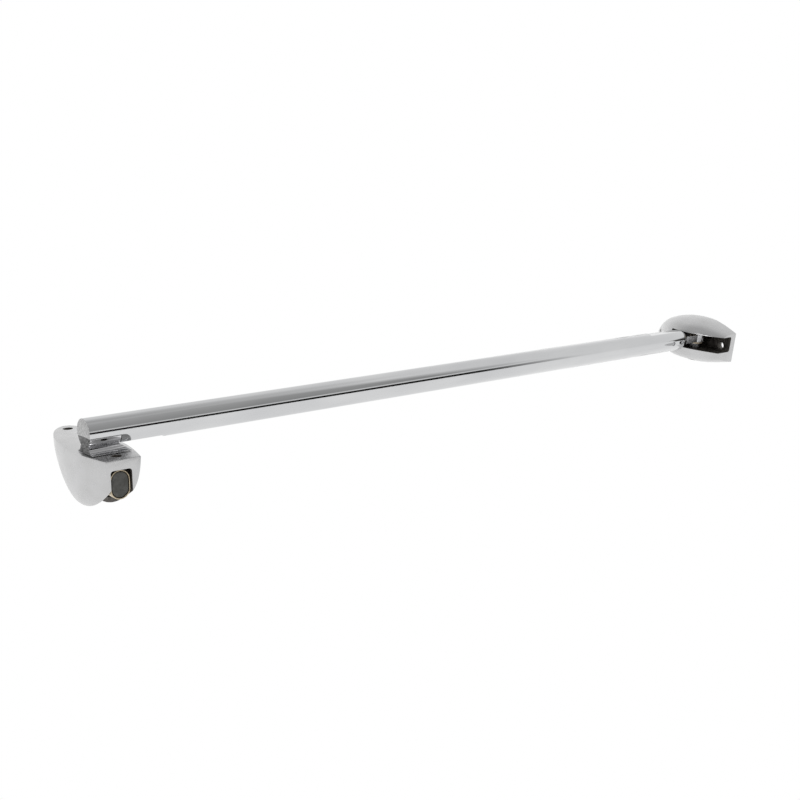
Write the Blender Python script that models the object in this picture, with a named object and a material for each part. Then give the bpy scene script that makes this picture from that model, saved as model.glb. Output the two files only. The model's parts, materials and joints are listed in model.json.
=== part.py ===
"""Window security bar: a polished rod between two hull-shaped brackets.

Metres, +Z up.  The rod lies along X and its near end face is at X = 0.
The hinge bracket at the far end is screwed to the window frame; the slide
bracket at the near end carries the rod on a saddle and a push-button lock.
"""
import math

import bmesh
import bpy
from mathutils import Matrix, Vector

MM = 0.001
GAP = 0.3 * MM

# Rod
BAR_D = 16.0 * MM
BAR_R = BAR_D / 2
BAR_LENGTH = 481.5 * MM
BAR_TAPER = 6.0 * MM            # the far end narrows so that it clears the bracket
BAR_TIP_R = 5.6 * MM
LAP_LENGTH = 17.8 * MM          # half-lap that takes the saddle
LAP_Z = -0.1 * BAR_D
FLAT_LENGTH = 2.8 * BAR_D       # shallow flat beyond the half-lap
FLAT_Z = -0.4 * BAR_D
FAR_FLAT_LENGTH = 2.5 * BAR_D
FAR_FLAT_Z = 0.42 * BAR_D

# Bracket casting, in its own frame: X thickness, Y length, +Z the flange's normal
SLIDE_LENGTH = 5.5 * BAR_D
HINGE_LENGTH = 4.45 * BAR_D
CAST_HALF_END = 0.6 * BAR_D
CAST_HALF_MAX = 0.92 * BAR_D
CAST_DEPTH_END = 1.2 * BAR_D
CAST_DEPTH_MAX = 2.1 * BAR_D
CAST_WIDEST = 0.38              # share of the length, from the blunt end
CAST_DEEPEST = 0.47
SLIDE_SHIFT = 1.6 * MM           # middle line of the casting, beside its slot
HINGE_SHIFT = 3.2 * MM
HINGE_SPREAD = 1.17              # the hinge bracket is shorter and wider
CAST_DRIFT = 5.5 * MM            # further shift of that line at the tip
CAST_LEAN = 1.8 * MM             # sideways lean of the keel, at full depth
CAST_STATIONS = 26
CAST_RING = 22
FLANGE_THICK = 5.2 * MM
SLOT_WIDTH = 11.8 * MM
SLOT_CORNER = 1.6 * MM
END_WALL = 1.9 * MM
WALL = 2.4 * MM
CAVITY_CORNER = 0.5 * MM
CAVITY_WIDTH = 14.6 * MM
SLIDE_CAVITY = 54.0 * MM        # cavity length from the blunt end
HINGE_CAVITY = 37.0 * MM
SCREW_HOLE_D = 5.6 * MM
SCREW_HOLE_NEAR = 8.5 * MM      # from the blunt end
SCREW_HOLE_FAR = 7.6 * MM       # from the tip

# Slide bracket
SLIDE_X = 0.625 * BAR_D
SLIDE_END_Y = -1.35 * BAR_D
FLANGE_Z = -0.69 * BAR_D
SLIDE_TRAVEL = 5.0 * MM

# Saddle, an extrusion along X
SADDLE_LENGTH = 17.4 * MM        # at the lobe
FOOT_LENGTH = 22.5 * MM          # the far end slopes out to the foot
SLOPE_TOP_Z = -6.8 * MM
SLOPE_FOOT_Z = -10.4 * MM
KEY_X = SLIDE_X
KEY_LENGTH = 5.4 * MM
KEY_STEM = 6.0 * MM
KEY_HEAD = 8.8 * MM
KEY_STEM_TOP = 0.3 * MM
KEY_HEAD_TOP = 2.7 * MM

# Lock
BUTTON_Z = -1.5 * BAR_D
SLEEVE_HALF = 5.6 * MM          # half width of the oval sleeve
SLEEVE_Z = BUTTON_Z - 0.6 * MM     # middle of the oval
SLEEVE_TALL = 7.9 * MM          # half height of the oval sleeve
SLEEVE_WALL = 0.7 * MM
SLEEVE_LIP = 0.2 * MM           # how far the sleeve stands proud of the button
BUTTON_FACE_Y = -19.5 * MM
BUTTON_DEPTH = 5.0 * MM
BUTTON_TRAVEL = 2.5 * MM
SLEEVE_END_Y = -13.8 * MM
LOCK_PIN_R = 1.5 * MM
LOCK_PIN_TOP = 5.3 * MM
LOCK_PIN_BOTTOM = -27.5 * MM
LOCK_SLOT_TOP = 5.8 * MM
CAM_X = SLIDE_X + 2.9 * MM
CAM_THICK = 2.0 * MM
PLATE_Y = -3.9 * MM
PLATE_THICK = 1.2 * MM
PLATE_HALF = 5.9 * MM
PLATE_TOP_Z = -19.0 * MM
PLATE_BOTTOM_Z = -29.8 * MM
CROSS_R = 0.8 * MM              # cross pin between cam plate and lock pin
SPRING_X = SLIDE_X - 2.3 * MM
SPRING_R = 2.3 * MM
SPRING_WIRE = 0.35 * MM
SPRING_TURNS = 6
SPRING_STEPS = 14               # segments in one turn
SADDLE_SCREW_R = 1.0 * MM
SADDLE_SCREW_Y = (-3.75 * MM, 3.75 * MM)
SCREW_TIP_Z = -7.4 * MM
SCREW_HEAD_R = 1.7 * MM
SCREW_HEAD_HEIGHT = 1.8 * MM

# Hinge bracket
PIVOT_X = BAR_LENGTH + 17.5 * MM
PIVOT_R = 2.5 * MM
HINGE_FLANGE_X = PIVOT_X + 17.0 * MM
HINGE_END_Y = -24.0 * MM
HINGE_DROP = 1.0 * MM            # the casting's slot, below the middle of the tongue
HINGE_ROLL = math.radians(8.0)   # set of the hinge about the rod's axis
TONGUE_HALF = 2.8 * MM
TONGUE_EYE_R = 6.5 * MM
TONGUE_HALF_WIDTH = 5.0 * MM
TONGUE_SHANK_R = 3.4 * MM
TONGUE_SHANK = 24.0 * MM
BUSH_R = 3.9 * MM
WASHER_R = 6.0 * MM
WASHER_THICK = 1.0 * MM
SPACER_R = 4.2 * MM
CROSS_PIN_R = 1.25 * MM
CROSS_PIN_X = (BAR_LENGTH - 8.0 * MM, BAR_LENGTH - 18.0 * MM)

ROUND = 48

CHROME = (0.72, 0.73, 0.74, 1.0)


def clear_scene():
    for obj in list(bpy.data.objects):
        bpy.data.objects.remove(obj, do_unlink=True)


def collection(name):
    made = bpy.data.collections.new(name)
    bpy.context.scene.collection.children.link(made)
    return made


clear_scene()
PARTS = collection("window_security_bar")
CUTTERS = collection("cutters")


def material(name, colour, roughness, metallic):
    made = bpy.data.materials.new(name)
    made.use_nodes = True
    shader = made.node_tree.nodes["Principled BSDF"]
    shader.inputs["Base Color"].default_value = colour
    shader.inputs["Roughness"].default_value = roughness
    shader.inputs["Metallic"].default_value = metallic
    return made


HINGE_SET = bpy.data.objects.new("hinge_set", None)
PARTS.objects.link(HINGE_SET)
HINGE_SET.rotation_euler = (HINGE_ROLL, 0, 0)


def on_hinge(*objects):
    """Turn pieces that are laid out upright with the hinge, about the rod's axis."""
    for obj in objects:
        obj.parent = HINGE_SET


POLISHED = material("polished_chrome", CHROME, 0.08, 1.0)
STEEL = material("plain_steel", (0.45, 0.45, 0.46, 1.0), 0.35, 1.0)
BRASS = material("brass", (0.62, 0.5, 0.33, 1.0), 0.3, 1.0)
DARK = material("dark_plastic", (0.06, 0.06, 0.055, 1.0), 0.55, 0.0)


def place(mesh, name, finish, home=PARTS):
    obj = bpy.data.objects.new(name, mesh)
    home.objects.link(obj)
    if finish is not None:
        mesh.materials.append(finish)
    return obj


def mesh_from(bm, name):
    bmesh.ops.recalc_face_normals(bm, faces=bm.faces)
    mesh = bpy.data.meshes.new(name)
    bm.to_mesh(mesh)
    bm.free()
    mesh.shade_smooth()
    mesh.set_sharp_from_angle(angle=math.radians(35))
    return mesh


def aim(axis):
    """Rotation that turns +Z onto the given axis."""
    return Vector((0, 0, 1)).rotation_difference(Vector(axis)).to_matrix().to_4x4()


def rod(name, start, axis, length, radius, finish=None, home=PARTS, sides=ROUND):
    """A cylinder from start along axis."""
    bm = bmesh.new()
    bmesh.ops.create_cone(bm, cap_ends=True, segments=sides, radius1=radius, radius2=radius,
                          depth=length)
    bmesh.ops.translate(bm, verts=bm.verts, vec=(0, 0, length / 2))
    bmesh.ops.transform(bm, verts=bm.verts, matrix=Matrix.Translation(start) @ aim(axis))
    return place(mesh_from(bm, name), name, finish, home)


def box(name, low, high, finish=None, home=PARTS):
    bm = bmesh.new()
    bmesh.ops.create_cube(bm, size=1.0)
    size = Vector(high) - Vector(low)
    centre = (Vector(high) + Vector(low)) / 2
    bmesh.ops.scale(bm, verts=bm.verts, vec=size)
    bmesh.ops.translate(bm, verts=bm.verts, vec=centre)
    return place(mesh_from(bm, name), name, finish, home)


def prism(name, outline, axis, start, length, finish=None, home=PARTS):
    """Extrude an outline of (a, b) points; axis X takes (y, z), Y takes (x, z), Z takes (x, y)."""
    lift = {"X": lambda a, b, c: (c, a, b), "Y": lambda a, b, c: (a, c, b),
            "Z": lambda a, b, c: (a, b, c)}[axis]
    bm = bmesh.new()
    base = [bm.verts.new(lift(a, b, start)) for a, b in outline]
    face = bm.faces.new(base)
    top = bmesh.ops.extrude_face_region(bm, geom=[face])
    verts = [v for v in top["geom"] if isinstance(v, bmesh.types.BMVert)]
    bmesh.ops.translate(bm, verts=verts, vec=lift(0, 0, length))
    return place(mesh_from(bm, name), name, finish, home)


def turned(name, profile, start, axis, finish=None, home=PARTS, closed=False):
    """Spin a profile of (radius, height) points about the axis through start."""
    bm = bmesh.new()
    verts = [bm.verts.new((radius, 0, height)) for radius, height in profile]
    for a, b in zip(verts, verts[1:] + (verts[:1] if closed else [])):
        bm.edges.new((a, b))
    bmesh.ops.spin(bm, geom=bm.verts[:] + bm.edges[:], axis=(0, 0, 1), cent=(0, 0, 0),
                   angle=math.tau, steps=ROUND, use_merge=True)
    bmesh.ops.remove_doubles(bm, verts=bm.verts, dist=0.01 * MM)
    bmesh.ops.transform(bm, verts=bm.verts, matrix=Matrix.Translation(start) @ aim(axis))
    return place(mesh_from(bm, name), name, finish, home)


def ring(name, start, axis, length, outer, inner, finish):
    """A plain tube, turned from its rectangular profile."""
    return turned(name, ((outer, length), (outer, 0), (inner, 0), (inner, length)), start, axis,
                  finish, closed=True)


def boolean(target, tool, operation):
    modifier = target.modifiers.new(tool.name, "BOOLEAN")
    modifier.operation = operation
    modifier.solver = "EXACT"
    modifier.object = tool
    tool.hide_render = True
    tool.display_type = "WIRE"


def cut(target, *tools):
    for tool in tools:
        boolean(target, tool, "DIFFERENCE")


def join(target, *tools):
    for tool in tools:
        boolean(target, tool, "UNION")


def body_tools(target):
    """The cutters that a piece's Boolean modifiers use."""
    return [m.object for m in target.modifiers if m.type == "BOOLEAN"]


def rounded_rect(low, high, radius, corners=5):
    """Outline of a rectangle with rounded corners, as (a, b) points."""
    centres = ((high[0] - radius, high[1] - radius, 0), (low[0] + radius, high[1] - radius, 90),
               (low[0] + radius, low[1] + radius, 180), (high[0] - radius, low[1] + radius, 270))
    points = []
    for a, b, turn in centres:
        for i in range(corners + 1):
            angle = math.radians(turn + 90 * i / corners)
            points.append((a + radius * math.cos(angle), b + radius * math.sin(angle)))
    return points


# ---------------------------------------------------------------- bracket castings

def cast_half_width(t):
    if t < CAST_WIDEST:
        rise = math.sin(math.pi / 2 * t / CAST_WIDEST)
        return CAST_HALF_END + (CAST_HALF_MAX - CAST_HALF_END) * rise
    u = (t - CAST_WIDEST) / (1 - CAST_WIDEST)
    return CAST_HALF_MAX * max(1 - u ** 2.2, 0.004) ** 0.5


def cast_depth(t):
    if t < CAST_DEEPEST:
        rise = math.sin(math.pi / 2 * t / CAST_DEEPEST)
        return CAST_DEPTH_END + (CAST_DEPTH_MAX - CAST_DEPTH_END) * rise
    u = (t - CAST_DEEPEST) / (1 - CAST_DEEPEST)
    return CAST_DEPTH_MAX * (0.07 + 0.93 * max(1 - u ** 1.7, 0.0) ** 1.3)


def cast_middle(t, shift):
    return shift + CAST_DRIFT * t ** 3


def hull_mesh(name, length, shift, spread, inset=0.0):
    """Loft of convex sections from the blunt end (Y = 0) to the tip."""
    bm = bmesh.new()
    rings = []
    for i in range(CAST_STATIONS):
        t = 1 - (1 - i / (CAST_STATIONS - 1)) ** 1.5
        width = max(cast_half_width(t) * spread - inset, 0.2 * MM)
        depth = max(cast_depth(t) - inset, 0.3 * MM)
        middle = cast_middle(t, shift)
        verts = []
        for j in range(CAST_RING):
            angle = math.pi * j / (CAST_RING - 1)
            side = math.copysign(abs(math.cos(angle)) ** 0.72, math.cos(angle))
            drop = depth * math.sin(angle) if 0 < j < CAST_RING - 1 else 0.0
            lean = CAST_LEAN * drop / CAST_DEPTH_MAX
            verts.append(bm.verts.new((middle + width * side - lean, length * t, -drop)))
        rings.append(verts)
    for a, b in zip(rings, rings[1:]):
        for j in range(CAST_RING):
            k = (j + 1) % CAST_RING
            bm.faces.new((a[j], a[k], b[k], b[j]))
    bm.faces.new(rings[0])
    bm.faces.new(rings[-1])
    return mesh_from(bm, name)


def casting(name, frame, length, cavity_end, shift, spread=1.0):
    """The hollow casting both brackets share: slot, cavity and two screw holes."""
    body = place(hull_mesh(name, length, shift, spread), name, POLISHED)
    under = -FLANGE_THICK
    deep = -CAST_DEPTH_MAX - 5 * MM
    half_slot, half_cavity = SLOT_WIDTH / 2, CAVITY_WIDTH / 2
    slot = prism(name + "_slot", rounded_rect((-half_slot, deep), (half_slot, under), SLOT_CORNER),
                 "Y", -5 * MM, cavity_end + 4 * MM, home=CUTTERS)
    cavity = prism(name + "_cavity",
                   rounded_rect((-half_cavity, END_WALL), (half_cavity, cavity_end), CAVITY_CORNER),
                   "Z", deep, under - deep, home=CUTTERS)
    core = place(hull_mesh(name + "_core", length, shift, spread, WALL), name + "_core", None, CUTTERS)
    boolean(cavity, core, "INTERSECT")
    holes = [rod(name + "_hole_%d" % i, (cast_middle(y / length, shift), y, -12 * MM), (0, 0, 1), 24 * MM,
                 SCREW_HOLE_D / 2, home=CUTTERS, sides=32)
             for i, y in enumerate((SCREW_HOLE_NEAR, length - SCREW_HOLE_FAR))]
    for tool in [slot, cavity, core] + holes:
        tool.matrix_world = frame
    body.matrix_world = frame
    cut(body, slot, cavity, *holes)
    return body


# ---------------------------------------------------------------- rod

def build_bar():
    shoulder = BAR_LENGTH - BAR_TAPER
    bar = turned("bar_rod", ((0, 0), (BAR_R, 0), (BAR_R, shoulder), (BAR_TIP_R, BAR_LENGTH),
                             (0, BAR_LENGTH)), (0, 0, 0), (1, 0, 0), POLISHED)
    wide = BAR_R + 2 * MM
    lap = box("bar_lap", (-2 * MM, -wide, -wide), (LAP_LENGTH, wide, LAP_Z), home=CUTTERS)
    flat = box("bar_flat", (-2 * MM, -wide, -wide), (FLAT_LENGTH, wide, FLAT_Z), home=CUTTERS)
    far_flat = box("bar_far_flat", (BAR_LENGTH - FAR_FLAT_LENGTH, -wide, FAR_FLAT_Z),
                   (BAR_LENGTH + 2 * MM, wide, wide), home=CUTTERS)
    key_low = KEY_X - KEY_LENGTH / 2 - GAP - SLIDE_TRAVEL
    key_high = KEY_X + KEY_LENGTH / 2 + GAP
    stem = KEY_STEM / 2 + GAP
    head = KEY_HEAD / 2 + GAP
    slot_stem = box("key_slot_stem", (key_low, -stem, -BAR_R), (key_high, stem, KEY_STEM_TOP + GAP),
                    home=CUTTERS)
    slot_head = box("key_slot_head", (key_low, -head, KEY_STEM_TOP - GAP),
                    (key_high, head, KEY_HEAD_TOP + GAP), home=CUTTERS)
    lock = prism("bar_lock_slot", stadium(SLIDE_TRAVEL, LOCK_PIN_R + GAP), "Z", 0, LOCK_SLOT_TOP,
                 home=CUTTERS)
    lock.location.x = KEY_X - SLIDE_TRAVEL / 2
    shank = rod("bar_shank_bore", (BAR_LENGTH - TONGUE_SHANK - GAP, 0, 0), (1, 0, 0),
                TONGUE_SHANK + 4 * MM, TONGUE_SHANK_R + GAP, home=CUTTERS, sides=32)
    pins = [rod("bar_cross_bore_%d" % i, (x, -wide, 0), (0, 1, 0), 2 * wide, CROSS_PIN_R + GAP,
                home=CUTTERS, sides=24)
            for i, x in enumerate(CROSS_PIN_X)]
    on_hinge(*pins)
    cut(bar, lap, flat, far_flat, slot_stem, slot_head, lock, shank, *pins)
    return bar


def build_tongue():
    neck_start = BAR_LENGTH + GAP
    tongue = rod("hinge_tongue", (PIVOT_X, 0, -TONGUE_HALF), (0, 0, 1), 2 * TONGUE_HALF,
                 TONGUE_EYE_R, POLISHED)
    neck = box("tongue_neck", (neck_start, -TONGUE_HALF_WIDTH, -TONGUE_HALF),
               (PIVOT_X, TONGUE_HALF_WIDTH, TONGUE_HALF), home=CUTTERS)
    shank = rod("tongue_shank", (BAR_LENGTH - TONGUE_SHANK, 0, 0), (1, 0, 0),
                TONGUE_SHANK + 3 * MM, TONGUE_SHANK_R, home=CUTTERS, sides=32)
    join(tongue, neck, shank)
    bore = rod("tongue_bore", (PIVOT_X, 0, -10 * MM), (0, 0, 1), 20 * MM, BUSH_R + GAP,
               home=CUTTERS)
    pins = [rod("tongue_cross_bore_%d" % i, (x, -BAR_D, 0), (0, 1, 0), 2 * BAR_D,
                CROSS_PIN_R + GAP, home=CUTTERS, sides=24)
            for i, x in enumerate(CROSS_PIN_X)]
    cut(tongue, bore, *pins)
    on_hinge(tongue, neck, shank, bore, *pins)
    for name, x in zip(("tongue_pin_outer", "tongue_pin_inner"), CROSS_PIN_X):
        on_hinge(rod(name, (x, -BAR_R + GAP, 0), (0, 1, 0), BAR_D - 2 * GAP, CROSS_PIN_R, STEEL,
                     sides=24))
    on_hinge(ring("tongue_bush", (PIVOT_X, 0, -TONGUE_HALF), (0, 0, 1), 2 * TONGUE_HALF,
                  BUSH_R, PIVOT_R + GAP, BRASS))
    return tongue


# ---------------------------------------------------------------- hinge bracket

def build_hinge():
    frame = (Matrix.Translation((HINGE_FLANGE_X, HINGE_END_Y, -HINGE_DROP))
             @ Matrix.Rotation(math.pi / 2, 4, "Y"))
    body = casting("hinge_bracket", frame, HINGE_LENGTH, HINGE_CAVITY, HINGE_SHIFT, HINGE_SPREAD)
    half_cavity = CAVITY_WIDTH / 2
    pin_low, pin_high = -half_cavity - 9.5 * MM, half_cavity + 0.4 * MM
    bore = rod("pivot_bore", (PIVOT_X, 0, -2 * BAR_D), (0, 0, 1),
               2 * BAR_D + pin_high + GAP, PIVOT_R + GAP, home=CUTTERS)
    cut(body, bore)
    on_hinge(body, *body_tools(body))
    on_hinge(*[core for tool in body_tools(body) for core in body_tools(tool)])
    on_hinge(rod("pivot_pin", (PIVOT_X, 0, pin_low), (0, 0, 1), pin_high - pin_low, PIVOT_R, STEEL))
    for name, z in (("thrust_washer_upper", TONGUE_HALF + GAP),
                    ("thrust_washer_lower", -TONGUE_HALF - GAP - WASHER_THICK)):
        on_hinge(ring(name, (PIVOT_X, 0, z), (0, 0, 1), WASHER_THICK, WASHER_R, PIVOT_R + GAP,
                      BRASS))
    stack = TONGUE_HALF + 2 * GAP + WASHER_THICK
    height = half_cavity + HINGE_DROP - stack - GAP
    on_hinge(ring("spacer_lower", (PIVOT_X, 0, -stack - height), (0, 0, 1), height, SPACER_R,
                  PIVOT_R + GAP, STEEL))
    return body


# ---------------------------------------------------------------- slide bracket

def saddle_outline():
    """(y, z) outline: round lobe under the rod, waist, then a foot that flares to the flange."""
    lobe_top = LAP_Z - GAP
    foot = FLANGE_Z + GAP
    waist = 0.33 * BAR_D
    half = []
    start = math.asin(-lobe_top / BAR_R)
    for i in range(9):
        angle = start + (math.radians(62) - start) * i / 8
        half.append((BAR_R * math.cos(angle), -BAR_R * math.sin(angle)))
    neck_z = half[-1][1]
    half[-1] = (waist, neck_z - 0.2 * MM)
    foot_half = 0.54 * BAR_D
    drop = half[-1][1] - (foot + 0.5 * MM)
    for i in range(1, 8):
        angle = math.pi / 2 * i / 7
        half.append((waist + (foot_half - waist) * (1 - math.cos(angle)),
                     half[8][1] - drop * math.sin(angle)))
    half.append((foot_half, foot))
    return half + [(-y, z) for y, z in reversed(half)]


def build_saddle():
    saddle = prism("saddle_rail", saddle_outline(), "X", GAP, FOOT_LENGTH - GAP, POLISHED)
    beyond = FOOT_LENGTH + 5 * MM
    slope = prism("saddle_slope", ((SADDLE_LENGTH, 5 * MM), (SADDLE_LENGTH, SLOPE_TOP_Z),
                                   (FOOT_LENGTH, SLOPE_FOOT_Z), (beyond, SLOPE_FOOT_Z), (beyond, 5 * MM)),
                  "Y", -BAR_D, 2 * BAR_D, home=CUTTERS)
    cut(saddle, slope)
    low, high = KEY_X - KEY_LENGTH / 2, KEY_X + KEY_LENGTH / 2
    stem = box("key_stem", (low, -KEY_STEM / 2, LAP_Z - 2 * MM),
               (high, KEY_STEM / 2, KEY_STEM_TOP + 1 * MM), home=CUTTERS)
    head = box("key_head", (low, -KEY_HEAD / 2, KEY_STEM_TOP + GAP),
               (high, KEY_HEAD / 2, KEY_HEAD_TOP), home=CUTTERS)
    join(saddle, stem, head)
    lock = rod("saddle_lock_bore", (KEY_X, 0, -BAR_D), (0, 0, 1), 2 * BAR_D, LOCK_PIN_R + GAP,
               home=CUTTERS, sides=32)
    cut(saddle, lock)
    taps = [rod("saddle_tap_%d" % i, (SLIDE_X, y, -BAR_D), (0, 0, 1), BAR_D + SCREW_TIP_Z + GAP,
                SADDLE_SCREW_R + GAP, home=CUTTERS, sides=24)
            for i, y in enumerate(SADDLE_SCREW_Y)]
    cut(saddle, *taps)
    return saddle


def build_slide_bracket():
    frame = Matrix.Translation((SLIDE_X, SLIDE_END_Y, FLANGE_Z))
    body = casting("slide_bracket", frame, SLIDE_LENGTH, SLIDE_CAVITY, SLIDE_SHIFT)
    ceiling = FLANGE_Z - FLANGE_THICK
    lock = rod("flange_lock_bore", (SLIDE_X, 0, ceiling - 5 * MM), (0, 0, 1), 20 * MM,
               LOCK_PIN_R + GAP, home=CUTTERS, sides=32)
    screws = [rod("flange_screw_bore_%d" % i, (SLIDE_X, y, ceiling - 5 * MM), (0, 0, 1), 20 * MM,
                  SADDLE_SCREW_R + GAP, home=CUTTERS, sides=24)
              for i, y in enumerate(SADDLE_SCREW_Y)]
    cut(body, lock, *screws)
    for name, y in zip(("saddle_screw_front", "saddle_screw_back"), SADDLE_SCREW_Y):
        screw = rod(name, (SLIDE_X, y, ceiling - GAP - SCREW_HEAD_HEIGHT), (0, 0, 1),
                    SCREW_HEAD_HEIGHT, SCREW_HEAD_R, STEEL, sides=32)
        shaft = rod(name + "_shaft", (SLIDE_X, y, ceiling - GAP - 1 * MM), (0, 0, 1),
                    SCREW_TIP_Z - ceiling + GAP + 1 * MM, SADDLE_SCREW_R, home=CUTTERS, sides=24)
        join(screw, shaft)
    return body


def build_lock():
    sleeve_start = BUTTON_FACE_Y - SLEEVE_LIP
    sleeve = prism("button_sleeve", oval(0.0), "Y", sleeve_start, SLEEVE_END_Y - sleeve_start, BRASS)
    bore = prism("sleeve_bore", oval(SLEEVE_WALL), "Y", sleeve_start - 1 * MM,
                 SLEEVE_END_Y - sleeve_start + 2 * MM, home=CUTTERS)
    cut(sleeve, bore)
    prism("push_button", oval(SLEEVE_WALL + GAP), "Y", BUTTON_FACE_Y, BUTTON_DEPTH, DARK)
    button_back = BUTTON_FACE_Y + BUTTON_DEPTH
    # Cam plate: its slanted slot draws the lock pin down as the button goes in.
    half = CAM_THICK / 2
    plate = prism("cam_plate", rounded_rect((button_back + GAP, BUTTON_Z - 4.3 * MM),
                                            (2.5 * MM, BUTTON_Z + 2.6 * MM), 0.8 * MM),
                  "X", CAM_X - half, CAM_THICK, STEEL)
    slot_half = CROSS_R + GAP
    reach = BUTTON_TRAVEL / 2
    slot = prism("cam_slot", stadium(2 * reach * math.sqrt(2), slot_half), "X",
                 -2 * CAM_THICK, 4 * CAM_THICK, home=CUTTERS)
    slot.matrix_world = (Matrix.Translation((CAM_X, -reach, BUTTON_Z - reach))
                         @ Matrix.Rotation(math.radians(45), 4, "X"))
    cut(plate, slot)
    outline = rounded_rect((SLIDE_X - PLATE_HALF, PLATE_BOTTOM_Z), (SLIDE_X + PLATE_HALF, PLATE_TOP_Z),
                           2 * MM)
    spring_plate = prism("spring_plate", outline, "Y", PLATE_Y, PLATE_THICK, STEEL)
    window = box("spring_plate_window", (CAM_X - half - GAP, -8 * MM, BUTTON_Z - 5 * MM),
                 (CAM_X + half + GAP, 2 * MM, BUTTON_Z + 3 * MM), home=CUTTERS)
    cut(spring_plate, window)
    pin = rod("lock_pin", (SLIDE_X, 0, LOCK_PIN_BOTTOM), (0, 0, 1), LOCK_PIN_TOP - LOCK_PIN_BOTTOM,
              LOCK_PIN_R, STEEL, sides=32)
    cross_bore = rod("lock_cross_bore", (SLIDE_X - 5 * MM, 0, BUTTON_Z), (1, 0, 0), 10 * MM,
                     CROSS_R + GAP, home=CUTTERS, sides=24)
    cut(pin, cross_bore)
    rod("lock_cross_pin", (SLIDE_X - 2.2 * MM, 0, BUTTON_Z), (1, 0, 0),
        CAM_X + half + 0.8 * MM - SLIDE_X + 2.2 * MM, CROSS_R, STEEL, sides=24)
    spring("button_spring", SPRING_X, button_back + GAP + SPRING_WIRE, PLATE_Y - GAP - SPRING_WIRE)


def stadium(length, radius, steps=8):
    """Slot outline centred on the origin, long way along the first coordinate."""
    points = []
    for side in (1, -1):
        for i in range(steps + 1):
            angle = math.radians(-90 + 180 * i / steps)
            points.append((side * (length / 2 + radius * math.cos(angle)),
                           side * radius * math.sin(angle)))
    return points


def oval(inset):
    """Upright slot outline about the lock's axis, as (x, z) points."""
    radius = SLEEVE_HALF - inset
    upright = stadium(2 * (SLEEVE_TALL - SLEEVE_HALF), radius, steps=16)
    return [(SLIDE_X + b, SLEEVE_Z + a) for a, b in upright]


def spring(name, x, start, end):
    """Round-wire coil along Y, made as a curve and turned to a welded mesh."""
    curve = bpy.data.curves.new(name + "_wire", "CURVE")
    curve.dimensions = "3D"
    curve.bevel_depth = SPRING_WIRE
    curve.bevel_resolution = 2
    curve.use_fill_caps = True
    line = curve.splines.new("POLY")
    count = SPRING_TURNS * SPRING_STEPS + 1
    line.points.add(count - 1)
    for i, point in enumerate(line.points):
        share = i / (count - 1)
        angle = math.tau * SPRING_TURNS * share
        point.co = (x + SPRING_R * math.cos(angle), start + (end - start) * share,
                    BUTTON_Z + SPRING_R * math.sin(angle), 1)
    wire = bpy.data.objects.new(name + "_wire", curve)
    PARTS.objects.link(wire)
    depsgraph = bpy.context.evaluated_depsgraph_get()
    mesh = bpy.data.meshes.new_from_object(wire.evaluated_get(depsgraph))
    bpy.data.objects.remove(wire, do_unlink=True)
    bm = bmesh.new()
    bm.from_mesh(mesh)
    bmesh.ops.remove_doubles(bm, verts=bm.verts, dist=0.00001)
    bmesh.ops.recalc_face_normals(bm, faces=bm.faces)
    bm.to_mesh(mesh)
    bm.free()
    return place(mesh, name, STEEL)


build_bar()
build_tongue()
build_hinge()
build_saddle()
build_slide_bracket()
build_lock()
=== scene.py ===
"""Looks for the window security bar: polished castings, rod and fittings around the CAD frame."""
import json
import math

import bmesh
import bpy
from mathutils import Matrix, Vector
from mathutils.bvhtree import BVHTree


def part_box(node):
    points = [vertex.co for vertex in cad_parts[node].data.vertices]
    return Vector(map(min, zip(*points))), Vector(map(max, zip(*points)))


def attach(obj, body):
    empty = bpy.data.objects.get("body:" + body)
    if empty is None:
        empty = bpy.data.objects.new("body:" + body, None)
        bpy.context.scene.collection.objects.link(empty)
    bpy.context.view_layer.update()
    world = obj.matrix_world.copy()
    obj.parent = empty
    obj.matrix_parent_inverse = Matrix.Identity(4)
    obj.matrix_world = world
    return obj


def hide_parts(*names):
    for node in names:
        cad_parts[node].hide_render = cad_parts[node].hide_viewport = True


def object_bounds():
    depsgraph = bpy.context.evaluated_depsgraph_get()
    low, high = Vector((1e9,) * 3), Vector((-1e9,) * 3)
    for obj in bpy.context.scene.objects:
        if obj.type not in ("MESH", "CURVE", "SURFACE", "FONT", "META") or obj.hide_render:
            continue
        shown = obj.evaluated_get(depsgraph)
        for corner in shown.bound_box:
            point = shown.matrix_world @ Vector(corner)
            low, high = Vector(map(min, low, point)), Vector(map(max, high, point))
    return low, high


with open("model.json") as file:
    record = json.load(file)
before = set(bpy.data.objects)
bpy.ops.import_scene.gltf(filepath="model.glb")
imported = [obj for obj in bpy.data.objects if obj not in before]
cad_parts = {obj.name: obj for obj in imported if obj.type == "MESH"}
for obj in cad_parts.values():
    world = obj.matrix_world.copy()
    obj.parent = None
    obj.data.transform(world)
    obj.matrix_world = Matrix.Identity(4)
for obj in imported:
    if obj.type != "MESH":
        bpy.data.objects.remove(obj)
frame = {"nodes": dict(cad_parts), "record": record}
cad_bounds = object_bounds()

MM = 0.001
GAP = 0.3 * MM

# ---------------------------------------------------------------- sizes read from the frame

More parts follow.
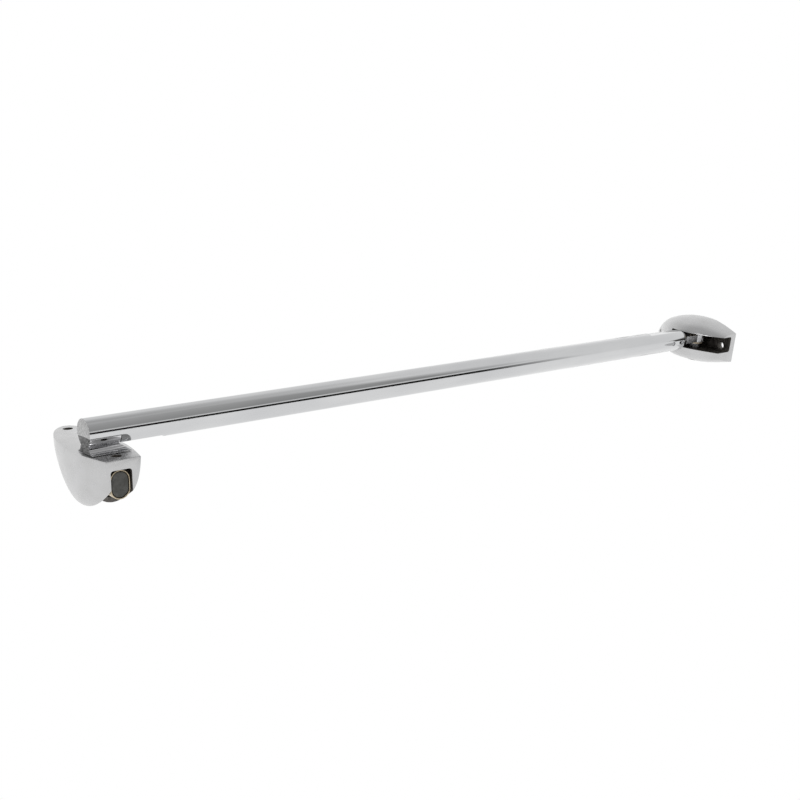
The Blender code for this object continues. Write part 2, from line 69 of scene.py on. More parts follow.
BAR_HIGH = Vector(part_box("bar_rod")[1])
SLIDE_LOW, SLIDE_HIGH = (Vector(corner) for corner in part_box("slide_bracket"))
SADDLE_LOW, SADDLE_HIGH = (Vector(corner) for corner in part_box("saddle_rail"))
BUTTON_LOW, BUTTON_HIGH = (Vector(corner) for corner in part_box("push_button"))
SLEEVE_LOW, SLEEVE_HIGH = (Vector(corner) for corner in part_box("button_sleeve"))
JOINTS = {joint["name"]: joint for joint in frame["record"]["behaviour"]["joints"]}
PIVOT = Vector(JOINTS["bar_swing"]["pos_m"])
PIVOT_AXIS = Vector(JOINTS["bar_swing"]["axis"])
ROLL = math.atan2(-PIVOT_AXIS.y, PIVOT_AXIS.z)

BUTTON_HALF = (BUTTON_HIGH.x - BUTTON_LOW.x) / 2
OVAL_RISE = (BUTTON_HIGH.z - BUTTON_LOW.z) / 2 - BUTTON_HALF
BAR_LENGTH = BAR_HIGH.x
BAR_R = BAR_HIGH.z
BAR_D = 2 * BAR_R
FLANGE_Z = SLIDE_HIGH.z
SLIDE_X = 0.625 * BAR_D
SLIDE_END_Y = SLIDE_LOW.y
SLIDE_LENGTH = SLIDE_HIGH.y - SLIDE_LOW.y
SLIDE_TRAVEL = JOINTS["bracket_slide"]["range_m"][1]
HINGE_FLANGE_X = PIVOT.x + 17.0 * MM
HINGE_END_Y = -24.0 * MM
HINGE_LENGTH = 4.45 * BAR_D
HINGE_DROP = 1.0 * MM

CAST_HALF_END = 0.6 * BAR_D
CAST_HALF_MAX = 0.92 * BAR_D
CAST_DEPTH_END = 1.2 * BAR_D
CAST_DEPTH_MAX = 2.1 * BAR_D
CAST_WIDEST = 0.38
CAST_DEEPEST = 0.47
SLIDE_SHIFT = 1.6 * MM
HINGE_SHIFT = 3.2 * MM
HINGE_SPREAD = 1.17
CAST_DRIFT = 5.5 * MM
CAST_LEAN = 1.8 * MM
CAST_STATIONS = 72
STATION_CROWDING = 1.5      # packs the stations closer towards the tip
CAST_RING = 61
WIDTH_POWER = 2.2
DEPTH_POWER = 1.7
KEEL_POWER = 1.3
TIP_DEPTH_SHARE = 0.07
TIP_WIDTH_FLOOR = 0.004     # keeps the tip's section open
SECTION_POWER = 0.72        # below 1, the sections are fuller than a half ellipse
LEAST_HALF_WIDTH = 0.2 * MM
LEAST_DEPTH = 0.3 * MM
FLANGE_THICK = 5.2 * MM
SLOT_WIDTH = 11.8 * MM
SLOT_CORNER = 1.6 * MM
SLOT_SHORT = 1.0 * MM       # how far the slot ends before the cavity does
END_WALL = 1.9 * MM
WALL = 2.4 * MM
CAVITY_WIDTH = 14.6 * MM
CAVITY_CORNER = 0.5 * MM
SLIDE_CAVITY = 54.0 * MM
HINGE_CAVITY = 37.0 * MM
SCREW_HOLE_D = 5.6 * MM
SCREW_HOLE_NEAR = 8.5 * MM
SCREW_HOLE_FAR = 7.6 * MM

LAP_LENGTH = 17.8 * MM
LAP_Z = -0.1 * BAR_D
FLAT_LENGTH = 2.8 * BAR_D
FLAT_Z = -0.4 * BAR_D
FAR_FLAT_LENGTH = 2.5 * BAR_D
FAR_FLAT_Z = 0.42 * BAR_D
BAR_TAPER = 6.0 * MM
BAR_TIP_R = 5.6 * MM
SADDLE_LENGTH = 17.4 * MM
SLOPE_TOP_Z = -6.8 * MM
SLOPE_FOOT_Z = -10.4 * MM
KEY_LENGTH = 5.4 * MM
KEY_STEM = 6.0 * MM
KEY_HEAD = 8.8 * MM
KEY_STEM_TOP = 0.3 * MM
KEY_HEAD_TOP = 2.7 * MM
KEY_OVERLAP = 1.0 * MM
LOCK_PIN_R = 1.5 * MM
LOCK_SLOT_TOP = 5.8 * MM
PIVOT_R = 2.5 * MM
SCREW_R = 1.0 * MM
SCREW_Y = (-3.75 * MM, 3.75 * MM)
SCREW_TIP_Z = -7.4 * MM
SHANK = 24.0 * MM
SHANK_R = 3.4 * MM
CROSS_PIN_R = 1.25 * MM
CROSS_PIN_X = (BAR_LENGTH - 8.0 * MM, BAR_LENGTH - 18.0 * MM)
SADDLE_WAIST = 0.33 * BAR_D
SADDLE_FOOT_HALF = 0.54 * BAR_D
LOBE_END = math.radians(62)
NECK_DROP = 0.2 * MM
FOOT_EDGE = 0.5 * MM
DISH_DEPTH = 0.35 * MM
DISH_SHARES = (0.05, 0.3, 0.55, 0.75, 0.88)
BUTTON_EDGE_R = 0.5 * MM
BUTTON_EDGE_STEP = 0.02 * MM
BUTTON_EDGE_TURNS = 5
SLEEVE_LIP_TURNS = 8

# ---------------------------------------------------------------- edges and cutters

EDGE = 0.35 * MM
BAR_EDGE = 0.25 * MM
SADDLE_EDGE = 0.18 * MM
MARGIN = 2.0 * MM           # how far a cutter stands out of the rod
REACH = 5.0 * MM            # how far a cutter stands out of a casting or the saddle
THROUGH = 12.0 * MM         # half the length of a cutter through a flange
PIVOT_ABOVE = 0.4 * MM
PAINT_REACH = 0.12 * MM
PAINT_COSINE = 0.9
END_COSINE = 0.95
END_SLACK = 0.05 * MM

# ---------------------------------------------------------------- camera, light and ground

CAMERA_AT = Vector((-0.238, -0.565, 0.148))
CAMERA_LOOK = Vector((0.6053, 0.7664, -0.2151))
LENS_MM = 53.1
SENSOR_MM = 36.0
CLIP_START = 0.01
WORLD_PEAK = 2.0
FRONT_STOPS = ((-1.0, 0.95), (-0.06, 0.95), (-0.05, 0.01), (0.21, 0.01), (0.23, 0.9), (0.31, 0.8),
               (0.38, 0.36), (0.75, 0.42), (0.93, 0.48), (1.0, 0.62))
BACK_STOPS = ((-1.0, 0.95), (0.0, 0.92), (0.80, 0.88), (0.95, 0.62), (1.0, 0.5))
BACK_DIRECTION = (0.62, 0.785, 0.0)
SURROUND_BLEND = 0.12
GROUND_DROP = 60 * MM       # the bar dips about 50 mm at the end of its swing
GROUND_SIZE = 12.0
GROUND_X = 0.2
SWEEP_AT = (2.6, 3.2, 0.35)
SWEEP_SCALE = (9, 1.6, 1)
SWEEP_TURN = math.radians(-38)
KEY_AT = (-0.5, -0.9, 1.1)
KEY_AIM = (0.1, 0, 0)
KEY_SIZE = 0.5
KEY_POWER = 5


def make_camera():
    data = bpy.data.cameras.new("camera")
    data.lens = LENS_MM
    data.sensor_width = SENSOR_MM
    data.clip_start = CLIP_START
    camera = bpy.data.objects.new("camera", data)
    bpy.context.scene.collection.objects.link(camera)
    turn = CAMERA_LOOK.to_track_quat("-Z", "Y").to_matrix().to_4x4()
    camera.matrix_world = Matrix.Translation(CAMERA_AT) @ turn
    bpy.context.scene.camera = camera


def height_ramp(nodes, links, height, stops):
    """Grey levels by height; stops hold (height from -1 to 1, brightness)."""
    ramp = nodes.new("ShaderNodeValToRGB")
    while len(ramp.color_ramp.elements) < len(stops):
        ramp.color_ramp.elements.new(1.0)
    for element, (z, value) in zip(ramp.color_ramp.elements, stops):
        element.position = (z + 1) / 2
        element.color = (value / WORLD_PEAK,) * 3 + (1,)
    links.new(height, ramp.inputs["Fac"])
    return ramp.outputs["Color"]


def mixed(nodes, links, share, first, second):
    """Colour mix of two sockets; share 0 gives the first and 1 the second."""
    mix = nodes.new("ShaderNodeMix")
    mix.data_type = "RGBA"
    links.new(share, mix.inputs[0])
    links.new(first, mix.inputs[6])
    links.new(second, mix.inputs[7])
    return mix.outputs[2]


def make_world():
    """Studio surround: a strip light and a dark band in front, a light sweep behind.

    The camera itself sees it as plain white.
    """
    world = bpy.data.worlds.new("studio")
    world.use_nodes = True
    bpy.context.scene.world = world
    nodes, links = world.node_tree.nodes, world.node_tree.links
    background = nodes["Background"]
    coords = nodes.new("ShaderNodeTexCoord")
    split = nodes.new("ShaderNodeSeparateXYZ")
    height = nodes.new("ShaderNodeMapRange")
    height.inputs["From Min"].default_value = -1.0
    links.new(coords.outputs["Generated"], split.inputs[0])
    links.new(split.outputs["Z"], height.inputs["Value"])
    front = height_ramp(nodes, links, height.outputs["Result"], FRONT_STOPS)
    back = height_ramp(nodes, links, height.outputs["Result"], BACK_STOPS)
    ahead = nodes.new("ShaderNodeVectorMath")
    ahead.operation = "DOT_PRODUCT"
    ahead.inputs[1].default_value = BACK_DIRECTION
    side = nodes.new("ShaderNodeMapRange")
    side.inputs["From Min"].default_value = -SURROUND_BLEND
    side.inputs["From Max"].default_value = SURROUND_BLEND
    links.new(coords.outputs["Generated"], ahead.inputs[0])
    links.new(ahead.outputs["Value"], side.inputs["Value"])
    surround = mixed(nodes, links, side.outputs["Result"], front, back)
    white = nodes.new("ShaderNodeRGB")
    white.outputs[0].default_value = (1 / WORLD_PEAK,) * 3 + (1,)
    rays = nodes.new("ShaderNodeLightPath")
    seen = mixed(nodes, links, rays.outputs["Is Camera Ray"], surround, white.outputs[0])
    links.new(seen, background.inputs["Color"])
    background.inputs["Strength"].default_value = WORLD_PEAK


def white_glow():
    made = bpy.data.materials.new("white_ground")
    made.use_nodes = True
    nodes, links = made.node_tree.nodes, made.node_tree.links
    nodes.clear()
    out = nodes.new("ShaderNodeOutputMaterial")
    emission = nodes.new("ShaderNodeEmission")
    emission.inputs["Color"].default_value = (1, 1, 1, 1)
    emission.inputs["Strength"].default_value = 1.0
    links.new(emission.outputs[0], out.inputs[0])
    return made


def make_stage():
    """White ground and a low white sweep behind the bar."""
    white = white_glow()
    low = cad_bounds[0][2]
    bpy.ops.mesh.primitive_plane_add(size=GROUND_SIZE, location=(GROUND_X, 0, low - GROUND_DROP))
    ground = bpy.context.object
    ground.name = "ground"
    bpy.ops.mesh.primitive_plane_add(size=1, location=SWEEP_AT)
    sweep = bpy.context.object
    sweep.name = "backdrop"
    sweep.scale = SWEEP_SCALE
    sweep.rotation_euler = (math.pi / 2, 0, SWEEP_TURN)
    for obj in (ground, sweep):
        obj.data.materials.append(white)


def make_key_light():
    data = bpy.data.lights.new("key", "AREA")
    data.size = KEY_SIZE
    data.energy = KEY_POWER
    light = bpy.data.objects.new("key", data)
    bpy.context.scene.collection.objects.link(light)
    light.location = KEY_AT
    light.rotation_euler = (Vector(KEY_AIM) - Vector(KEY_AT)).to_track_quat("-Z", "Y").to_euler()


# ---------------------------------------------------------------- materials

class Maker:
    """A Principled material with a few helpers for procedural detail."""

    def __init__(self, name, colour, roughness, metallic=1.0):
        self.made = bpy.data.materials.new(name)
        self.made.use_nodes = True
        self.nodes = self.made.node_tree.nodes
        self.links = self.made.node_tree.links
        self.shader = self.nodes["Principled BSDF"]
        self.shader.inputs["Base Color"].default_value = (*colour, 1)
        self.shader.inputs["Roughness"].default_value = roughness
        self.shader.inputs["Metallic"].default_value = metallic
        self.coords = self.nodes.new("ShaderNodeTexCoord")

    def noise(self, scale, detail=4.0, stretch=(1, 1, 1)):
        mapping = self.nodes.new("ShaderNodeMapping")
        mapping.inputs["Scale"].default_value = stretch
        noise = self.nodes.new("ShaderNodeTexNoise")
        noise.inputs["Scale"].default_value = scale
        noise.inputs["Detail"].default_value = detail
        self.links.new(self.coords.outputs["Object"], mapping.inputs["Vector"])
        self.links.new(mapping.outputs["Vector"], noise.inputs["Vector"])
        return noise.outputs["Fac"]

    def spread(self, value, socket, low, high, start=0.3, end=0.7):
        """Drive a number socket from a noise, between low and high."""
        scale = self.nodes.new("ShaderNodeMapRange")
        scale.inputs["From Min"].default_value = start
        scale.inputs["From Max"].default_value = end
        scale.inputs["To Min"].default_value = low
        scale.inputs["To Max"].default_value = high
        self.links.new(value, scale.inputs["Value"])
        self.links.new(scale.outputs["Result"], self.shader.inputs[socket])

    def tint(self, value, dark, light, start=0.3, end=0.7):
        """Drive the base colour from a noise, between dark and light."""
        ramp = self.nodes.new("ShaderNodeValToRGB")
        first, last = ramp.color_ramp.elements
        first.position, last.position = start, end
        first.color, last.color = (*dark, 1), (*light, 1)
        self.links.new(value, ramp.inputs["Fac"])
        self.links.new(ramp.outputs["Color"], self.shader.inputs["Base Color"])

    def bump(self, value, strength, distance):
        """Add a bump over any that the shader already has."""
        bump = self.nodes.new("ShaderNodeBump")
        bump.inputs["Strength"].default_value = strength
        bump.inputs["Distance"].default_value = distance
        self.links.new(value, bump.inputs["Height"])
        last = self.shader.inputs["Normal"]
        if last.links:
            self.links.new(last.links[0].from_socket, bump.inputs["Normal"])
        self.links.new(bump.outputs["Normal"], last)


def bar_chrome():
    """Chrome plate over drawn steel: faint lines along the rod and a few smudges."""
    m = Maker("bar_chrome", (0.61, 0.61, 0.62), 0.05)
    m.spread(m.noise(55, 3), "Roughness", 0.035, 0.11)
    m.tint(m.noise(70, 4, (0.25, 1, 1)), (0.57, 0.575, 0.585), (0.64, 0.645, 0.65))
    m.bump(m.noise(900, 3, (0.03, 1, 1)), 0.05, 0.02 * MM)
    m.bump(m.noise(26, 2, (0.6, 1, 1)), 0.06, 0.25 * MM)
    return m.made


def casting_chrome():
    """Polished casting: softer than the rod, with buffing haze and slight orange peel."""
    m = Maker("casting_chrome", (0.55, 0.55, 0.555), 0.26)
    m.spread(m.noise(120, 5), "Roughness", 0.20, 0.32)
    m.tint(m.noise(80, 5), (0.52, 0.52, 0.52), (0.57, 0.57, 0.575))
    m.bump(m.noise(90, 2), 0.08, 0.10 * MM)
    return m.made


def saddle_chrome():
    """Polished extrusion: clean, with faint lines along its length."""
    m = Maker("saddle_chrome", (0.62, 0.62, 0.63), 0.1)
    m.spread(m.noise(60, 3), "Roughness", 0.07, 0.14)
    m.tint(m.noise(60, 3, (0.3, 1, 1)), (0.56, 0.56, 0.57), (0.66, 0.66, 0.67))
    m.bump(m.noise(500, 2, (0.02, 1, 1)), 0.04, 0.03 * MM)
    return m.made


def cast_inside_and_shade():
    """Unpolished inside of a casting: grainy and a little brown, and darkened to near black as painted
    shade in the cavity and holes.
    """
    m = Maker("cast_inside_and_shade", (0.13, 0.12, 0.11), 0.6, 0.8)
    m.tint(m.noise(260, 6), (0.055, 0.05, 0.045), (0.17, 0.155, 0.14))
    m.spread(m.noise(500, 4), "Roughness", 0.45, 0.75)
    m.bump(m.noise(1200, 5), 0.5, 0.12 * MM)
    return m.made


def sawn_metal(name, dark, light, lines=(1, 1, 1)):
    """Sawn end: bright grain over a dull ground, with the blade's tracks."""
    m = Maker(name, light, 0.4)
    m.tint(m.noise(1300, 6, lines), dark, light, 0.35, 0.62)
    m.spread(m.noise(700, 4), "Roughness", 0.3, 0.6)
    m.bump(m.noise(1500, 5, lines), 0.8, 0.15 * MM)
    return m.made


def turned_metal(name, dark, light, roughness):
    """Machined or drawn metal: mottled, with fine tool marks."""
    m = Maker(name, light, roughness)
    m.tint(m.noise(300, 5), dark, light)
    m.spread(m.noise(450, 4), "Roughness", roughness * 0.8, roughness * 1.4)
    m.bump(m.noise(2500, 2, (1, 0.15, 1)), 0.15, 0.03 * MM)
    return m.made


def button_plastic():
    """Dark grey moulded face with a fine spark-eroded grain."""
    m = Maker("button_plastic", (0.06, 0.06, 0.055), 0.5, 0.0)
    m.tint(m.noise(420, 6), (0.045, 0.045, 0.04), (0.085, 0.084, 0.078))
    m.spread(m.noise(900, 4), "Roughness", 0.42, 0.62)
    m.bump(m.noise(2600, 4), 0.4, 0.04 * MM)
    return m.made


BAR_CHROME = bar_chrome()
CASTING_CHROME = casting_chrome()
SADDLE_CHROME = saddle_chrome()
CAST_INSIDE_AND_SHADE = cast_inside_and_shade()
SAWN_LIGHT = sawn_metal("sawn_light", (0.30, 0.30, 0.30), (0.62, 0.62, 0.62))
# The darker copy of the sawn finish is painted shade for the saddle's end faces.
SAWN_PAINTED_SHADE = sawn_metal("sawn_painted_shade", (0.05, 0.05, 0.05), (0.20, 0.20, 0.20), (1, 0.4, 1.6))
STEEL = turned_metal("turned_steel", (0.30, 0.30, 0.31), (0.46, 0.46, 0.47), 0.32)
HINGE_STEEL = turned_metal("hinge_steel", (0.42, 0.42, 0.43), (0.60, 0.60, 0.61), 0.26)
SPRING_STEEL = turned_metal("spring_steel", (0.22, 0.22, 0.23), (0.38, 0.38, 0.39), 0.3)
BRASS = turned_metal("dull_brass", (0.46, 0.39, 0.28), (0.66, 0.57, 0.43), 0.34)
BUTTON = button_plastic()


# ---------------------------------------------------------------- solid helpers

def link(mesh, name):
    obj = bpy.data.objects.new(name, mesh)
    bpy.context.scene.collection.objects.link(obj)
    return obj


def solid(bm, name):
    bmesh.ops.recalc_face_normals(bm, faces=bm.faces)
    mesh = bpy.data.meshes.new(name)
    bm.to_mesh(mesh)
    bm.free()
    return link(mesh, name)


def aim(axis):
    return Vector((0, 0, 1)).rotation_difference(Vector(axis)).to_matrix().to_4x4()


def turned(name, profile, start, axis, steps):
    """Lathe body; profile holds (radius, height) from one end of the axis to the other."""
    bm = bmesh.new()
    verts = [bm.verts.new((radius, 0, height)) for radius, height in profile]
    for a, b in zip(verts, verts[1:]):
        bm.edges.new((a, b))
    bmesh.ops.spin(bm, geom=bm.verts[:] + bm.edges[:], axis=(0, 0, 1), cent=(0, 0, 0),
                   angle=math.tau, steps=steps, use_merge=True)
    bmesh.ops.remove_doubles(bm, verts=bm.verts, dist=0.005 * MM)
    bmesh.ops.transform(bm, verts=bm.verts, matrix=Matrix.Translation(start) @ aim(axis))
    return solid(bm, name)


def rod(name, start, axis, length, radius, steps=64):
    return turned(name, ((0, 0), (radius, 0), (radius, length), (0, length)), start, axis, steps)


def box(name, low, high):
    bm = bmesh.new()
    bmesh.ops.create_cube(bm, size=1.0)
    bmesh.ops.scale(bm, verts=bm.verts, vec=Vector(high) - Vector(low))
    bmesh.ops.translate(bm, verts=bm.verts, vec=(Vector(high) + Vector(low)) / 2)
    return solid(bm, name)


def prism(name, outline, axis, start, length):
    """Outline in the plane across the axis, drawn out along it from start."""
    lift = {"X": lambda a, b, c: (c, a, b), "Y": lambda a, b, c: (a, c, b),
            "Z": lambda a, b, c: (a, b, c)}[axis]
    bm = bmesh.new()
    face = bm.faces.new([bm.verts.new(lift(a, b, start)) for a, b in outline])
    top = bmesh.ops.extrude_face_region(bm, geom=[face])
    verts = [v for v in top["geom"] if isinstance(v, bmesh.types.BMVert)]
    bmesh.ops.translate(bm, verts=verts, vec=lift(0, 0, length))
    return solid(bm, name)


def carve(target, cuts=(), joins=()):
    """Join and cut the target's mesh, then remove the tools."""
    for operation, tools in (("UNION", joins), ("DIFFERENCE", cuts)):
        for tool in tools:
            modifier = target.modifiers.new(tool.name, "BOOLEAN")
            modifier.operation = operation
            modifier.solver = "EXACT"
            modifier.object = tool
    bake(target)
    for tool in list(cuts) + list(joins):
        bpy.data.objects.remove(tool, do_unlink=True)


def bake(obj):
    """Replace the object's mesh by its evaluated mesh, in scene axes."""
    depsgraph = bpy.context.evaluated_depsgraph_get()
    depsgraph.update()
    mesh = bpy.data.meshes.new_from_object(obj.evaluated_get(depsgraph))
    mesh.transform(obj.matrix_world)
    obj.modifiers.clear()
    obj.data = mesh
    obj.matrix_world = Matrix.Identity(4)


def soften(obj, width=EDGE, segments=3, limit=40):
    """Break the sharp edges with a small rounded bevel."""
    weld = obj.modifiers.new("weld", "WELD")
    weld.merge_threshold = 0.02 * MM
    bevel = obj.modifiers.new("bevel", "BEVEL")
    bevel.width = width
    bevel.segments = segments
    bevel.limit_method = "ANGLE"
    bevel.angle_limit = math.radians(limit)
    bevel.use_clamp_overlap = True
    bake(obj)


def finish_mesh(obj, angle=32):
    obj.data.shade_smooth()
    obj.data.set_sharp_from_angle(angle=math.radians(angle))


def dress(obj, *materials):
    obj.data.materials.clear()
    for material in materials:
        obj.data.materials.append(material)


def stand_in(obj, node, body):
    """Let the piece ride a body in place of one frame node."""
    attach(obj, body)
    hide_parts(node)


def rounded_rect(low, high, radius, steps=8):
    """Rectangle outline with round corners of the given radius."""
    centres = ((high[0] - radius, high[1] - radius, 0), (low[0] + radius, high[1] - radius, 90),
               (low[0] + radius, low[1] + radius, 180), (high[0] - radius, low[1] + radius, 270))
    return [(a + radius * math.cos(math.radians(turn + 90 * i / steps)),
             b + radius * math.sin(math.radians(turn + 90 * i / steps)))
            for a, b, turn in centres for i in range(steps + 1)]


def stadium(length, radius, steps=12):
    """Outline of a slot: two half circles, their centres the given length apart."""
    return [(side * (length / 2 + radius * math.cos(math.radians(-90 + 180 * i / steps))),
             side * radius * math.sin(math.radians(-90 + 180 * i / steps)))
            for side in (1, -1) for i in range(steps + 1)]


# ---------------------------------------------------------------- castings

def cast_half_width(t):
    if t < CAST_WIDEST:
        rise = math.sin(math.pi / 2 * t / CAST_WIDEST)
        return CAST_HALF_END + (CAST_HALF_MAX - CAST_HALF_END) * rise
    u = (t - CAST_WIDEST) / (1 - CAST_WIDEST)
    return CAST_HALF_MAX * max(1 - u ** WIDTH_POWER, TIP_WIDTH_FLOOR) ** 0.5


def cast_depth(t):
    if t < CAST_DEEPEST:
        rise = math.sin(math.pi / 2 * t / CAST_DEEPEST)
        return CAST_DEPTH_END + (CAST_DEPTH_MAX - CAST_DEPTH_END) * rise
    u = (t - CAST_DEEPEST) / (1 - CAST_DEEPEST)
    fall = max(1 - u ** DEPTH_POWER, 0.0) ** KEEL_POWER
    return CAST_DEPTH_MAX * (TIP_DEPTH_SHARE + (1 - TIP_DEPTH_SHARE) * fall)


def cast_middle(t, shift):
    return shift + CAST_DRIFT * t ** 3


def hull(name, length, shift, spread, inset=0.0):
    """Loft of convex sections from the blunt end (Y = 0) to the tip; the flange faces +Z."""
    bm = bmesh.new()
    rings = []
    for i in range(CAST_STATIONS):
        t = 1 - (1 - i / (CAST_STATIONS - 1)) ** STATION_CROWDING
        width = max(cast_half_width(t) * spread - inset, LEAST_HALF_WIDTH)
        depth = max(cast_depth(t) - inset, LEAST_DEPTH)
        middle = cast_middle(t, shift)
        verts = []
        for j in range(CAST_RING):
            angle = math.pi * j / (CAST_RING - 1)
            side = math.copysign(abs(math.cos(angle)) ** SECTION_POWER, math.cos(angle))
            drop = depth * math.sin(angle) if 0 < j < CAST_RING - 1 else 0.0
            lean = CAST_LEAN * drop / CAST_DEPTH_MAX
            verts.append(bm.verts.new((middle + width * side - lean, length * t, -drop)))
        rings.append(verts)
    for a, b in zip(rings, rings[1:]):
        for j in range(CAST_RING):
            k = (j + 1) % CAST_RING
            bm.faces.new((a[j], a[k], b[k], b[j]))
    bm.faces.new(rings[0])
    bm.faces.new(rings[-1])
    return solid(bm, name)


def paint_inside_and_shade(body, tool):
    """Give the faces that lie on the tool's walls the raw cast finish, darkened as painted shade."""
    for face in body.data.polygons:
        _, normal, _, distance = tool.find_nearest(face.center)
        if distance < PAINT_REACH and abs(normal.dot(face.normal)) > PAINT_COSINE:
            face.material_index = 1


def tree_of(obj):
    bm = bmesh.new()
    bm.from_mesh(obj.data)
    tree = BVHTree.FromBMesh(bm)
    bm.free()
    return tree


def intersect(target, tool):
    """Keep what the target shares with the tool, then remove the tool."""
    modifier = target.modifiers.new("both", "BOOLEAN")
    modifier.operation = "INTERSECT"
    modifier.solver = "EXACT"
    modifier.object = tool
    bake(target)
    bpy.data.objects.remove(tool, do_unlink=True)


def casting(name, length, cavity_end, matrix, extra_cuts, shift, spread=1.0):
    """extra_cuts are placed in the scene's axes; the casting's own tools in its frame."""
    body = hull(name, length, shift, spread)
    half_slot, half_cavity = SLOT_WIDTH / 2, CAVITY_WIDTH / 2
    deep = -CAST_DEPTH_MAX - REACH
    opening = rounded_rect((-half_slot, deep), (half_slot, -FLANGE_THICK), SLOT_CORNER)
    slot = prism(name + "_slot", opening, "Y", -REACH, cavity_end + (REACH - SLOT_SHORT))
    hollow = rounded_rect((-half_cavity, END_WALL), (half_cavity, cavity_end), CAVITY_CORNER)
    cavity = prism(name + "_cavity", hollow, "Z", deep, -FLANGE_THICK - deep)
    intersect(cavity, hull(name + "_core", length, shift, spread, WALL))
    holes = [rod(name + "_hole", (cast_middle(y / length, shift), y, -THROUGH), (0, 0, 1), 2 * THROUGH,
                 SCREW_HOLE_D / 2)
             for y in (SCREW_HOLE_NEAR, length - SCREW_HOLE_FAR)]
    inverse = matrix.inverted()
    for tool in extra_cuts:
        tool.data.transform(inverse)
    tools = [slot, cavity] + holes + extra_cuts
    trees = [tree_of(tool) for tool in tools]
    carve(body, tools)
    soften(body)
    # The walls of the cavity, slot and holes get the raw cast finish, darkened as painted shade.
    dress(body, CASTING_CHROME, CAST_INSIDE_AND_SHADE)
    for tree in trees:
        paint_inside_and_shade(body, tree)
    body.data.transform(matrix)
    finish_mesh(body)
    return body


def flange_bore(name, y, radius):
    return rod(name, (SLIDE_X, y, FLANGE_Z - THROUGH), (0, 0, 1), 2 * THROUGH, radius + GAP)


def make_castings():
    bores = [flange_bore("lock_bore", 0, LOCK_PIN_R)]
    bores += [flange_bore("screw_bore", y, SCREW_R) for y in SCREW_Y]
    slide = casting("slide_casting", SLIDE_LENGTH, SLIDE_CAVITY,
                    Matrix.Translation((SLIDE_X, SLIDE_END_Y, FLANGE_Z)), bores, SLIDE_SHIFT)
    stand_in(slide, "slide_bracket", "slider")

    turn = Matrix.Rotation(ROLL, 4, "X")
    upright = (Matrix.Translation((HINGE_FLANGE_X, HINGE_END_Y, -HINGE_DROP))
               @ Matrix.Rotation(math.pi / 2, 4, "Y"))
    bore = rod("pivot_bore", (PIVOT.x, 0, -2 * BAR_D), (0, 0, 1),
               2 * BAR_D + CAVITY_WIDTH / 2 + PIVOT_ABOVE + GAP, PIVOT_R + GAP)
    bore.data.transform(turn)
    hinge = casting("hinge_casting", HINGE_LENGTH, HINGE_CAVITY, turn @ upright, [bore],
                    HINGE_SHIFT, HINGE_SPREAD)
    stand_in(hinge, "hinge_bracket", "hinge_mount")


# ---------------------------------------------------------------- rod and saddle

def make_bar():
    """Rod with its half-lap and flats, the keyway, the lock slot and the tongue's bores."""
    wide = BAR_R + MARGIN
    profile = ((0, 0), (BAR_R, 0), (BAR_R, BAR_LENGTH - BAR_TAPER), (BAR_TIP_R, BAR_LENGTH),
               (0, BAR_LENGTH))
    bar = turned("polished_rod", profile, (0, 0, 0), (1, 0, 0), steps=160)
    key_low = SLIDE_X - KEY_LENGTH / 2 - GAP - SLIDE_TRAVEL
    key_high = SLIDE_X + KEY_LENGTH / 2 + GAP
    stem, head = KEY_STEM / 2 + GAP, KEY_HEAD / 2 + GAP
    far_flat = BAR_LENGTH - FAR_FLAT_LENGTH
    lock = prism("lock_slot", stadium(SLIDE_TRAVEL, LOCK_PIN_R + GAP), "Z", 0, LOCK_SLOT_TOP)
    lock.data.transform(Matrix.Translation((SLIDE_X - SLIDE_TRAVEL / 2, 0, 0)))
    pins = [rod("cross_bore", (x, -wide, 0), (0, 1, 0), 2 * wide, CROSS_PIN_R + GAP, steps=32)
            for x in CROSS_PIN_X]
    for pin in pins:
        pin.data.transform(Matrix.Rotation(ROLL, 4, "X"))
    carve(bar, [
        box("lap", (-MARGIN, -wide, -wide), (LAP_LENGTH, wide, LAP_Z)),
        box("flat", (-MARGIN, -wide, -wide), (FLAT_LENGTH, wide, FLAT_Z)),
        box("far_flat", (far_flat, -wide, FAR_FLAT_Z), (BAR_LENGTH + MARGIN, wide, wide)),
        box("slot_stem", (key_low, -stem, -BAR_R), (key_high, stem, KEY_STEM_TOP + GAP)),
        box("slot_head", (key_low, -head, KEY_STEM_TOP - GAP), (key_high, head, KEY_HEAD_TOP + GAP)),
        lock,
        rod("shank_bore", (BAR_LENGTH - SHANK - GAP, 0, 0), (1, 0, 0), SHANK + 2 * MARGIN,
            SHANK_R + GAP, steps=48),
    ] + pins)
    soften(bar, BAR_EDGE, segments=2, limit=30)
    dress(bar, BAR_CHROME, SAWN_LIGHT)
    for face in bar.data.polygons:
        if face.normal.x < -END_COSINE and face.center.x < END_SLACK:
            face.material_index = 1
    finish_mesh(bar)
    stand_in(bar, "bar_rod", "bar")


def saddle_outline(lobe_steps=20, flare_steps=14):
    """Section of the saddle: a lobe under the rod, a waist and a foot that flares to the flange."""
    foot = FLANGE_Z + GAP
    start = math.asin((GAP - LAP_Z) / BAR_R)
    half = []
    for i in range(lobe_steps):
        angle = start + (LOBE_END - start) * i / lobe_steps
        half.append((BAR_R * math.cos(angle), -BAR_R * math.sin(angle)))
    neck_z = -BAR_R * math.sin(LOBE_END) - NECK_DROP
    drop = neck_z - (foot + FOOT_EDGE)
    flare = SADDLE_FOOT_HALF - SADDLE_WAIST
    for i in range(flare_steps + 1):
        angle = math.pi / 2 * i / flare_steps
        half.append((SADDLE_WAIST + flare * (1 - math.cos(angle)), neck_z - drop * math.sin(angle)))
    half.append((SADDLE_FOOT_HALF, foot))
    return half + [(-y, z) for y, z in reversed(half)]


